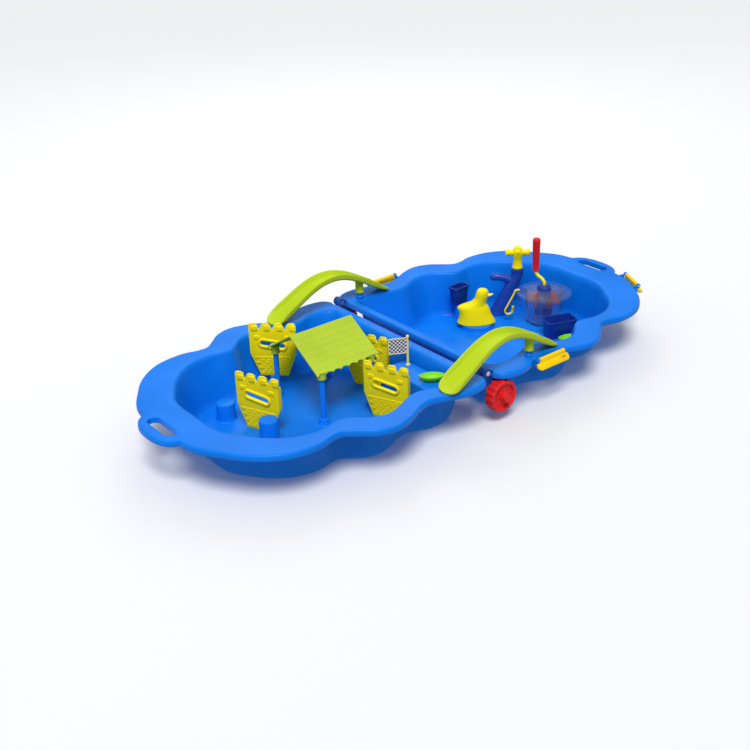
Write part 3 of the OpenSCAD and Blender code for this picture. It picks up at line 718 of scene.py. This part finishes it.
# ---- Roof ---------------------------------------------------------------------------
def roof():
    low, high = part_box("roof")
    x0, x1 = low.x / MM, high.x / MM
    middle = centre("roof")
    half = (high.y - low.y) / 2 / MM
    ridge, eave = high.z / MM, RIM_Z + 10
    rise = ridge - eave
    run = math.hypot(half, rise)
    down = (half / run, -rise / run)
    columns, rows, courses = 96, 60, 7
    shape = Shape()
    for side in (-1, 1):
        top, under = [], []
        for i in range(columns + 1):
            u = i / columns
            length = run - 4 * abs(math.sin(math.pi * 8 * u))
            edge_top, edge_under = [], []
            for j in range(rows + 1):
                v = length * j / rows
                course = (v / run * courses) % 1.0
                column = u * 16 + (0.5 if int(v / run * courses) % 2 else 0)
                tile = abs(math.sin(math.pi * column)) ** 0.35
                relief = 0.2 + 0.9 * course * tile - 0.25 * (1 - tile)
                fade = min(1, j / 2, (rows - j) / 2, i / 1.5, (columns - i) / 1.5)
                lift = relief * fade
                y = side * (v * down[0] + lift * rise / run)
                z = ridge + v * down[1] + lift * half / run - 0.9
                edge_top.append((x0 + (x1 - x0) * u, middle.y + y, z))
                edge_under.append((x0 + (x1 - x0) * u, middle.y + side * (v * down[0] - 2.6 * rise / run),
                                   ridge + v * down[1] - 2.6 * half / run - 0.9))
            edge_under[0] = (x0 + (x1 - x0) * u, middle.y, ridge - 4.0)
            top.append(edge_top)
            under.append(edge_under)
        rings = [t + u[::-1] for t, u in zip(top, under)]
        shape.loft(rings)
    for x in post_x:
        for y in post_y:
            reach = abs(y - middle.y)
            roof_at = ridge - reach * rise / half
            shape.lathe([(6.1, -4), (9.2, -4), (9.6, -3), (9.4, -1), (9.0, 0), (9.4, roof_at - RIM_Z - 4),
                         (11, roof_at - RIM_Z - 3.2), (6.1, roof_at - RIM_Z - 3.2)], at=(x, y, RIM_Z))
    piece(shape.build("thatched_roof", 28), "roof_body", ROOF_LIME, "lime_plastic", "roof")
    posts = Shape()
    for x in post_x:
        for y in post_y:
            posts.lathe([(6, 0), (5.9, 1), (5.9, 108), (5.2, 109.5)], at=(x, y, 16), steps=32)
    piece(posts.build("house_posts"), "folding_basin", BLUE, "basin_plastic", "roof_posts")


roof()


# ---- Flag ---------------------------------------------------------------------------
def flag():
    pole = centre("flag_pole")
    low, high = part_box("flag_pole")
    foot, top = low.z / MM, high.z / MM
    shape = Shape().lathe([(5, 0), (5, 2), (3.2, 4), (2.5, 7), (2.4, top - foot - 6), (3.4, top - foot - 5),
                           (3.4, top - foot - 3), (2.4, top - foot - 1), (0.8, top - foot)],
                          at=(pole.x, pole.y, foot), steps=28)
    piece(shape.build("flag_pole_rod"), "folding_basin", POLE, "pole_plastic", "flag_pole")
    low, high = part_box("flag_panel")
    bottom, height = low.z / MM, (high.z - low.z) / MM
    turn = 154.5
    width = 40.0
    # Thin sheet with a gentle wave
    columns, rows = 40, 24
    verts, faces = [], []
    for layer in (0, 1):
        for i in range(columns + 1):
            for j in range(rows + 1):
                u, v = i / columns, j / rows
                wave = 0.9 * math.sin(2 * math.pi * u) * smooth(u * 3)
                verts.append((2.8 + (width - 2) * u, wave + (0.45 if layer else -0.45), height * v))
    n = rows + 1
    size = (columns + 1) * n
    for i in range(columns):
        for j in range(rows):
            a = i * n + j
            faces.append((a, a + n, a + n + 1, a + 1))
            faces.append((size + a, size + a + 1, size + a + n + 1, size + a + n))
    border = ([i * n for i in range(columns + 1)] + [columns * n + j for j in range(1, rows + 1)]
              + [i * n + rows for i in range(columns - 1, -1, -1)] + [j for j in range(rows - 1, 0, -1)])
    for a, b in zip(border, border[1:] + border[:1]):
        faces.append((a, a + size, b + size, b))
    sheet = add_mesh("chequered_flag", turned(verts, turn, (pole.x, pole.y, bottom)), faces)
    uv = sheet.data.uv_layers.new(name="squares")
    c, s = math.cos(math.radians(turn)), math.sin(math.radians(turn))
    for loop in sheet.data.loops:
        co = sheet.data.vertices[loop.vertex_index].co / MM
        along = (co.x - pole.x) * c + (co.y - pole.y) * s
        uv.data[loop.index].uv = (along / 4.2 + 0.3, (co.z - bottom) / 4.2 + 0.3)
    piece(sheet, "flag", FLAG, "flag_plastic", "flag_panel")
    border_shape = Shape()
    for z in (bottom + 0.6, bottom + height - 0.6):
        border_shape.tube(turned([(2.6 + (width - 1) * k / 12, 0.9 * math.sin(2 * math.pi * k / 12)
                                   * smooth(k / 4), 0) for k in range(13)], turn, (pole.x, pole.y, z)), 1.1)
    border_shape.tube(turned([(width + 1.4, 0, 0), (width + 1.4, 0, height / 2), (width + 1.4, 0, height - 1)],
                             turn, (pole.x, pole.y, bottom + 0.5)), 1.1)
    piece(border_shape.build("flag_border"), "flag", POLE, "pole_plastic")


flag()


# ---- Duck mould ---------------------------------------------------------------------
def duck():
    low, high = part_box("duck")
    middle = centre("duck")
    base = low.z / MM
    # Height, forward shift, half length and half width of each level
    levels = [(0, 0, 46, 29), (1.2, 0, 47, 30), (4, 0, 46, 29.5), (12, -1, 42.5, 27.5), (22, -3, 39, 25),
              (32, -4.5, 37, 22.5), (40, -6, 35.5, 20), (45, -4, 30, 18), (50, 2, 21.5, 16.5),
              (56, 7, 17.5, 15), (63, 11, 15.8, 14.6), (70, 13, 15.6, 14.8), (77, 14, 15, 14.2),
              (82, 14.5, 13.2, 12.6), (84.6, 14.5, 11, 10.6), (86, 14.5, 8, 7.8), (86.2, 14.5, 2, 2)]
    levels = spline(levels, 4)
    rings = []
    for h, shift, rx, ry in levels:
        ring = []
        for k in range(64):
            a = 2 * math.pi * k / 64
            tail = 5 * max(0, -math.cos(a)) ** 6 * smooth((h - 22) / 16) * smooth((50 - h) / 8)
            ring.append((shift + rx * math.cos(a) - tail, ry * math.sin(a) * (1 - 0.12 * math.cos(a)), h))
        rings.append(ring)
    shape = Shape().loft(rings)
    beak = [(0, 5.8), (3, 5.6), (7, 4.8), (11, 3.6), (13.6, 2.2), (14.6, 0.8)]
    rings = []
    for reach, r in beak:
        ring = []
        for k in range(28):
            a = 2 * math.pi * k / 28
            ring.append((25.5 + reach, r * 1.25 * math.cos(a), 70 + r * 0.62 * math.sin(a) + 0.012 * reach ** 2))
        rings.append(ring)
    shape.loft(rings)
    shape.place(-40, (304, 98, base))
    piece(shape.build("duck_sand_mould", 40), "duck_mould", SUN, "yellow_plastic", "duck")


duck()


# ---- Tower and sprinkler head --------------------------------------------------------
def tower():
    low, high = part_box("tower")
    head = centre("tower_head")
    top, base = high.z / MM, low.z / MM
    foot = Vector((head.x - 37, head.y + 30, base))
    # Leaning body, then an upright collar round the spigot
    levels = [(0, 23.2), (1.5, 24), (4, 23.2), (8, 21.8), (30, 20.4), (55, 19), (78, 17.6), (92, 16.4)]
    rings = []
    for z, r in levels:
        t = min(1.0, z / (top - base - 17))
        ring = []
        for k in range(56):
            a = 2 * math.pi * k / 56
            ring.append((foot.x + (head.x - foot.x) * t + r * math.cos(a),
                         foot.y + (head.y - foot.y) * t + r * math.sin(a), base + z))
        rings.append(ring)
    for z, r in ((top - 16, 15.6), (top - 9, 15.0), (top - 7, 16), (top - 2, 16), (top - 0.6, 15.4),
                 (top, 13.6), (top, 7.1), (top - 26, 7.1)):
        rings.append([(head.x + r * math.cos(2 * math.pi * k / 56), head.y + r * math.sin(2 * math.pi * k / 56), z)
                      for k in range(56)])
    shape = Shape().loft(rings)
    a = math.radians(140)
    path = [(head.x - 8 + r * math.cos(a), head.y + 6 + r * math.sin(a), RIM_Z - 12 + z)
            for r, z in ((2, -10), (12, -6), (22, -2), (32, 0), (42, 1), (50, 0.5), (55, 0), (57.6, 0))]
    sizes = [13, 11.5, 10, 9.4, 9.4, 9.2, 7.4, 3]
    shape.tube(path, lambda t: sizes[min(7, int(t * 7 + 0.5))], steps=28)
    piece(shape.build("water_tower"), "table", TOWER, "tower_plastic", "tower")


def sprinkler():
    low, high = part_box("tower_head")
    middle = centre("tower_head")
    foot = RIM_Z + 12
    shape = Shape()
    shape.lathe([(6.9, -25), (6.9, 0.3), (12.4, 0.4), (13, 1.6), (12.6, 4), (11.4, 7), (10.6, 18),
                 (10.8, 28), (12.6, 33), (13.4, 40), (12.6, 46), (10.4, 50.5), (8.2, 52.4), (7.8, 54.6),
                 (6, 55.4)], at=(middle.x, middle.y, foot), steps=44)
    a = math.radians(-40)
    direction = Vector((math.cos(a), math.sin(a), 0))
    nozzle = [(5.5, -26), (5.8, -30), (7.6, -29.6), (8.4, -28), (8.4, -24), (7.4, -22.5), (6.9, -20), (7.2, -10),
              (8, 0), (7.2, 10), (6.9, 20), (7.4, 22.5), (8.4, 24), (8.4, 28), (7.6, 29.6), (5.8, 30), (5.5, 26)]
    shape.lathe(nozzle, at=(middle.x, middle.y, foot + 40), steps=36, axis=direction)
    across = Vector((-direction.y, direction.x, 0))
    shape.lathe([(3.5, -15), (4.6, -14), (4.8, 0), (4.6, 14), (3.5, 15)], at=(middle.x, middle.y, foot + 44),
                steps=24, axis=across)
    piece(shape.build("sprinkler_head"), "sprinkler", SUN, "yellow_plastic", "tower_head")


tower()
sprinkler()


# ---- Swirl toy ----------------------------------------------------------------------
def swirl_toy():
    low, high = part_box("swirl_cover")
    x, y = swirl.x, swirl.y
    edge = (high.x - low.x) / 2 / MM
    plate_z = RIM_Z - 34
    cover = Shape().lathe([(18.6, 6.4), (18.4, 9.2), (20, 10), (22, 9.4), (34, 8.8), (48, 7.2), (59, 4.8),
                           (edge - 1, 2.2), (edge, 1), (edge - 0.4, 0), (edge - 3, 0.2), (58, 3),
                           (49, 5), (46.6, 0), (46.4, -24), (44.8, -24), (44.6, 0), (43, 5), (34, 7),
                           (22, 7.6), (18.6, 6.4)], at=(x, y, plate_z), steps=96)
    for k in range(10):
        a = 2 * math.pi * k / 10
        r0, r1 = 24, edge - 7
        cover.tube([(x + r * math.cos(a), y + r * math.sin(a), plate_z + 9.2 - 5.6 * ((r - 24) / 38) ** 1.6)
                    for r in [r0 + (r1 - r0) * q / 8 for q in range(9)]], 0.9, steps=10)
    piece(cover.build("clear_cover"), "table", CLEAR, "clear_plastic", "swirl_cover")
    bowl_low, bowl_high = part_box("swirl_bowl")
    top = bowl_high.z / MM - bowl_low.z / MM
    bowl = Shape().lathe([(13, 0), (40, 0), (43.2, 1), (43.9, 4), (43.6, 30), (43.9, top - 1), (43.4, top),
                          (41.8, top), (41, top - 2), (40.8, 6), (38, 3.2), (13, 3), (13, 0)],
                         at=(x, y, bowl_low.z / MM), steps=96)
    piece(bowl.build("clear_bowl"), "table", CLEAR, "clear_plastic", "swirl_bowl")
    hub_top, hub_foot = RIM_Z - 14, 21
    h = hub_top - hub_foot
    hub = Shape().lathe([(3.9, -14), (3.9, 0), (20, 0), (21.8, 1.5), (21.6, 5), (19.6, h * 0.4), (17.6, h * 0.78),
                         (16.6, h - 7), (15, h - 3), (11.6, h - 0.6), (5, h)], at=(x, y, hub_foot), steps=56)
    piece(hub.build("swirl_hub"), "rotor", NAVY, "navy_plastic", "rotor_hub")
    count = 6
    blades = Shape()
    blade_low, blade_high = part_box("rotor_paddles")
    z0, z1 = blade_low.z / MM, blade_high.z / MM
    for k in range(count):
        a = 2 * math.pi * k / count
        rings = []
        for q in range(11):
            r = 15 + 23.6 * q / 10
            bend = a + 0.16 * (q / 10) ** 2
            rise = 3 * smooth(q / 4) if q < 6 else 3
            z_top = z1 - 4 * (q / 10) ** 3
            section = [(-1.5, z0 + 3 - rise), (1.5, z0 + 3 - rise), (1.2, (z0 + z1) / 2), (1.0, z_top - 1),
                       (0, z_top), (-1.0, z_top - 1), (-1.2, (z0 + z1) / 2)]
            rings.append([(x + r * math.cos(bend) - s * math.sin(bend), y + r * math.sin(bend) + s * math.cos(bend),
                           z) for s, z in section])
        blades.loft(rings)
    piece(blades.build("paddle_blades", 45), "rotor", RED, "red_plastic", "rotor_paddles")
    grip = centre("crank_grip")
    grip_low, grip_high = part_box("crank_grip")
    foot = grip_low.z / MM
    keys = [(x, y, hub_top - 7), (x, y, hub_top + 2), (x, y + 1, hub_top + 7),
            (x + (grip.x - x) * 0.25, y + (grip.y - y) * 0.3, hub_top + 14),
            (x + (grip.x - x) * 0.75, y + (grip.y - y) * 0.75, foot - 12),
            (grip.x, grip.y - 1, foot - 5), (grip.x, grip.y, foot), (grip.x, grip.y, foot + 20)]
    rod = Shape().tube(spline(keys, 5), lambda t: 4.0 if t < 0.8 else 2.9, steps=24)
    piece(rod.build("crank_arm"), "rotor", SUN, "yellow_plastic", "crank_rod")
    h = grip_high.z / MM - foot
    handle = Shape().lathe([(3.2, 1), (8.2, 0), (8.9, 1.2), (8.6, 3.5), (7.9, 6), (8.3, 20), (8.9, h * 0.5),
                            (9.3, h * 0.75), (9.6, h - 8), (9.0, h - 3.5), (6.8, h - 0.8), (2.5, h)],
                           at=(grip.x, grip.y, foot), steps=44)
    piece(handle.build("crank_handle"), "grip", RED, "red_plastic", "crank_grip")


swirl_toy()


# ---- Hook ---------------------------------------------------------------------------
def hook():
    low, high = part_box("swirl_cover")
    edge = (high.x - low.x) / 2 / MM
    plate_z = RIM_Z - 34
    keys = [(edge - 8, 7.4), (edge - 2, 7.6), (edge + 2.6, 6), (edge + 5, -1), (edge + 15, -22),
            (edge + 26, -44), (edge + 27, -50), (edge + 24, -55), (edge + 17.6, -56.6), (edge + 11, -53),
            (edge + 8.2, -46), (edge + 7.8, -36)]
    a = math.radians(140)
    path = [(swirl.x + r * math.cos(a), swirl.y + r * math.sin(a), plate_z + z) for r, z in spline(keys, 5)]
    shape = Shape().tube(path, lambda t: 2.3 + 0.5 * smooth((t - 0.9) * 10), steps=20, flat=1.25)
    piece(shape.build("water_hook"), "hook_body", SUN, "yellow_plastic", "hook")


hook()


# ---- Boxes and boats ----------------------------------------------------------------
def bin_box(name, node, body, size, degrees):
    low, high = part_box(node)
    at = ((low.x + high.x) / 2 / MM, (low.y + high.y) / 2 / MM, low.z / MM)
    half_x, half_y, height = size[0] / 2, size[1] / 2, size[2]
    levels = [(-6, 0.4, 1.5), (-5.2, 0, 1.0), (-4.6, 1, 1.5), (-3.4, height * 0.6, 1.5), (-2.2, height - 6, 1.5),
              (-0.6, height - 5, 2), (0, height - 3, 2), (-0.2, height - 0.5, 2), (-1.2, height, 2),
              (-2.6, height - 0.4, 2), (-3.4, height - 4, 2), (-6.4, 5, 2), (-9, 3, 2)]
    rings = []
    for grow, z, _ in levels:
        quad = [(sx * (half_x + grow), sy * (half_y + grow), z) for sx, sy in ((-1, -1), (1, -1), (1, 1), (-1, 1))]
        rings.append(rounded_quad(quad, 6, steps=5))
    shape = Shape().loft(rings)
    shape.place(degrees, at)
    piece(shape.build(name, 40), body, NAVY, "navy_plastic", node)


bin_box("left_box_scoop", "box_left", "left_box", (50, 30, 45), 0)
bin_box("right_box_scoop", "box_right", "right_box", (78, 46, 44), -20)


def boat(name, node, body, degrees):
    """Leaf-shaped boat with a hollow, a keel and a raised stem line."""
    low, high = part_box(node)
    at = ((low.x + high.x) / 2 / MM, (low.y + high.y) / 2 / MM, low.z / MM)
    levels = [(0.55, 0.35, 0), (0.66, 0.5, 1.2), (0.82, 0.76, 6), (0.95, 0.93, 11), (1.0, 1.0, 14.6),
              (0.995, 0.99, 15.8), (0.95, 0.92, 15.9), (0.93, 0.88, 14.5), (0.80, 0.70, 8), (0.64, 0.46, 4),
              (0.45, 0.2, 3.2)]
    rings = []
    for long_by, wide_by, z in levels:
        ring = []
        for k in range(56):
            a = 2 * math.pi * k / 56
            x = 28 * long_by * math.cos(a)
            y = 15 * wide_by * math.sin(a) * abs(math.sin(a)) ** 0.35
            lift = 1.6 * abs(math.cos(a)) ** 8 * (1 if z > 10 else 0)
            ring.append((x, y, z + lift - (1.6 if z > 10 else 0)))
        rings.append(ring)
    shape = Shape().loft(rings)
    shape.tube([(-20, 0, 4.6), (-10, 0, 3.9), (0, 0, 3.8), (10, 0, 3.9), (20, 0, 4.6)], 1.1, steps=10)
    for x in (-8, 0, 8):
        for side in (-1, 1):
            shape.tube([(x, 0, 4.1), (x + 3, side * 3, 4.8), (x + 5, side * 5.6, 7.2)], 0.7, steps=8)
    shape.place(degrees, at)
    piece(shape.build(name, 40), body, GREEN, "boat_plastic", node)


boat("leaf_boat_step", "boat_a", "boat_one", -35)
boat("leaf_boat_swirl", "boat_b", "boat_two", -22)
boat("leaf_boat_castle", "boat_c", "boat_three", 25)


# ---- Wheels -------------------------------------------------------------------------
def wheel(name, node, body, side):
    low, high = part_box(node)
    middle = centre(node)
    half = (high.y - low.y) / 2 / MM
    outer = (high.z - low.z) / 2 / MM
    lobes = 16
    # Share of the lobe height, radius pulled in, distance across
    section = [(0, outer - 5.8, 4.1 - half - 0.0), (0, 4.1, -half), (0, 8, -half), (0, 10.4, -half + 1),
               (0, 11, -half + 5), (0, 14, -half + 6.5), (0, outer - 10, -half + 6), (0, outer - 8.4, -half + 1.6),
               (0.3, outer - 6, -half + 0.3), (0.8, outer - 3, -half + 0.6), (1, outer - 1.4, -half + 3),
               (1, outer - 1.0, -half + 8), (1, outer - 1.0, half - 8), (1, outer - 1.4, half - 3),
               (0.8, outer - 3, half - 0.6), (0.3, outer - 6, half - 0.3), (0, outer - 8.4, half - 1.6),
               (0, outer - 10, half - 6), (0, 14, half - 6.5), (0, 11, half - 5), (0, 10.4, half - 1),
               (0, 8, half), (0, 4.1, half), (0, 4.1, -half)]
    steps = lobes * 12
    rings = []
    for lobe, r, y in section[1:]:
        ring = []
        for k in range(steps):
            a = 2 * math.pi * k / steps
            radius = r + lobe * (1.3 * math.cos(lobes * a) - 0.3)
            if 14 <= r <= outer - 9:
                y_here = y + math.copysign(0.9 * max(0, math.cos(8 * a)) ** 4, y)
            else:
                y_here = y
            ring.append((middle.x + radius * math.cos(a), middle.y + y_here, middle.z + radius * math.sin(a)))
        rings.append(ring)
    shape = Shape().loft(rings, caps=False)
    piece(shape.build(name, 40), body, RED, "red_plastic", node)


wheel("wheel_near_red", "wheel_near", "near_wheel", -1)
wheel("wheel_far_red", "wheel_far", "far_wheel", 1)

# ---- Latches ------------------------------------------------------------------------
def clasp(node, body, length, joint, degrees, flip):
    """Clasp plate with a crowned outer face and round ends, hung on its pin between two ears."""
    section = [(2.6, -5.8), (-3.4, -5.8), (-6.4, -8.2), (-9.6, -11.6), (-11.9, -15), (-13, -18.2),
               (-12, -20.1), (-4, -20.2), (1, -18.6), (3, -14)]
    section = fillet(section + [section[0]], 1.6, 2)[1:]
    middle = (-4, -13)
    rings = []
    for x, share in ((0.5, 0.3), (0.492, 0.56), (0.476, 0.78), (0.45, 0.93), (0.41, 1), (0.15, 1)):
        rings.append((-x * length, share))
    rings += [(-x, share) for x, share in reversed(rings)]
    solid = [[(x, middle[0] + (y - middle[0]) * share, middle[1] + (z - middle[1]) * share)
              for y, z in section] for x, share in rings]
    shape = Shape().loft(solid)
    inner = length / 2 - 9
    neck = fillet([(4.5, 0), (3.2, 3.4), (0, 4.6), (-3.4, 3.4), (-4.6, 0), (-4.6, -12), (2.6, -12), (4.5, 0)], 1.6, 2)
    shape.loft([[(x, y * share, z * share) for y, z in neck[1:]]
                for x, share in ((-inner, 0.9), (-inner + 1, 1), (inner - 1, 1), (inner, 0.9))])
    plate_mesh = put(shape, joint, degrees, flip).build(node + "_plate", 34)
    hole = Shape()
    x = 0.34 * length * (1 if flip > 0 else -1)
    hole.loft([[(x + 3.6 * math.cos(a), y, -11.6 + 3.6 * math.sin(a)) for a in (0, 2.09, 4.19)] for y in (-14, 9)])
    cut(plate_mesh, put(hole, joint, degrees, flip).build("cutter"), overlapping=True)
    piece(plate_mesh, body, AMBER, "amber_plastic", node)


for clasp_parts in CLASPS:
    clasp(*clasp_parts)

# ---- CAD parts that keep their shape --------------------------------------------------
finish_cad(BLUE_DEEP, "hinge_brackets_a", "hinge_brackets_b", "axle_brackets")
finish_cad(RED, "axle_caps")
finish_cad(STEEL, "hinge_pins", "bracket_screws_a", "bracket_screws_b", "axle", "latch_pins")


# ---- Studio -------------------------------------------------------------------------
def studio():
    floor = add_mesh("floor", [(-9000, -9000, -0.4), (9000, -9000, -0.4), (9000, 9000, -0.4), (-9000, 9000, -0.4)],
                     [(0, 1, 2, 3)], recalc=False)
    white = bpy.data.materials.new("floor_white")
    white.use_nodes = True
    shader = white.node_tree.nodes["Principled BSDF"]
    shader.inputs["Base Color"].default_value = (0.86, 0.86, 0.87, 1)
    shader.inputs["Roughness"].default_value = 0.7
    floor.data.materials.append(white)
    # Less light thrown up on the hull, as in a cut-out picture
    floor.visible_diffuse = False
    world = bpy.data.worlds.new("studio")
    world.use_nodes = True
    nodes, links = world.node_tree.nodes, world.node_tree.links
    light_only = nodes["Background"]
    light_only.inputs["Color"].default_value = (0.95, 0.97, 1.0, 1)
    light_only.inputs["Strength"].default_value = 0.42
    # The camera sees a paler backdrop than the one that lights the object
    seen = nodes.new("ShaderNodeBackground")
    seen.inputs["Color"].default_value = (0.95, 0.96, 0.97, 1)
    seen.inputs["Strength"].default_value = 0.92
    path, mix = nodes.new("ShaderNodeLightPath"), nodes.new("ShaderNodeMixShader")
    links.new(path.outputs["Is Camera Ray"], mix.inputs["Fac"])
    links.new(light_only.outputs["Background"], mix.inputs[1])
    links.new(seen.outputs["Background"], mix.inputs[2])
    links.new(mix.outputs["Shader"], nodes["World Output"].inputs["Surface"])
    bpy.context.scene.world = world
    bpy.context.scene.view_settings.view_transform = "Standard"
    sun = bpy.data.lights.new("sun", "SUN")
    sun.energy = 2.35
    sun.angle = math.radians(24)
    add_light("sun", sun, Vector((-0.9, -1.2, 2.6)))
    for name, offset, size, power in (("fill", (-2.2, 0.6, 1.6), 2.0, 5), ("back", (1.4, 2.0, 2.2), 1.6, 16)):
        area = bpy.data.lights.new(name, "AREA")
        area.energy = power
        area.size = size
        add_light(name, area, Vector(offset))


def add_light(name, data, offset):
    """A light at an offset from the middle of the object, aimed at it."""
    low, high = (Vector(v) for v in cad_box)
    light = bpy.data.objects.new(name, data)
    light.location = (low + high) / 2 + offset
    light.rotation_euler = (-offset).to_track_quat("-Z", "Y").to_euler()
    bpy.context.scene.collection.objects.link(light)


def camera():
    """The viewing angle of the reference picture: low left, from the castle basin's near side."""
    azimuth, elevation, roll = math.radians(-38.89), math.radians(26.07), math.radians(-1.54)
    distance = 2.406
    low, high = (Vector(v) for v in cad_box)
    middle = (low + high) / 2
    target = Vector((middle.x - 0.0846, middle.y - 0.0621, RIM_Z * MM))
    back = Vector((math.sin(azimuth) * math.cos(elevation), -math.cos(azimuth) * math.cos(elevation),
                   math.sin(elevation)))
    right = Vector((math.cos(azimuth), math.sin(azimuth), 0))
    up = back.cross(right)
    rolled_right = right * math.cos(roll) + up * math.sin(roll)
    rolled_up = up * math.cos(roll) - right * math.sin(roll)
    data = bpy.data.cameras.new("view")
    data.sensor_width = 36
    data.lens = 54.3
    data.shift_x = -0.0267
    data.shift_y = -0.0267
    data.clip_end = 50
    view = bpy.data.objects.new("view", data)
    view.matrix_world = Matrix((
        (rolled_right.x, rolled_up.x, back.x, target.x + back.x * distance),
        (rolled_right.y, rolled_up.y, back.y, target.y + back.y * distance),
        (rolled_right.z, rolled_up.z, back.z, target.z + back.z * distance),
        (0, 0, 0, 1)))
    bpy.context.scene.collection.objects.link(view)
    bpy.context.scene.camera = view


studio()
camera()
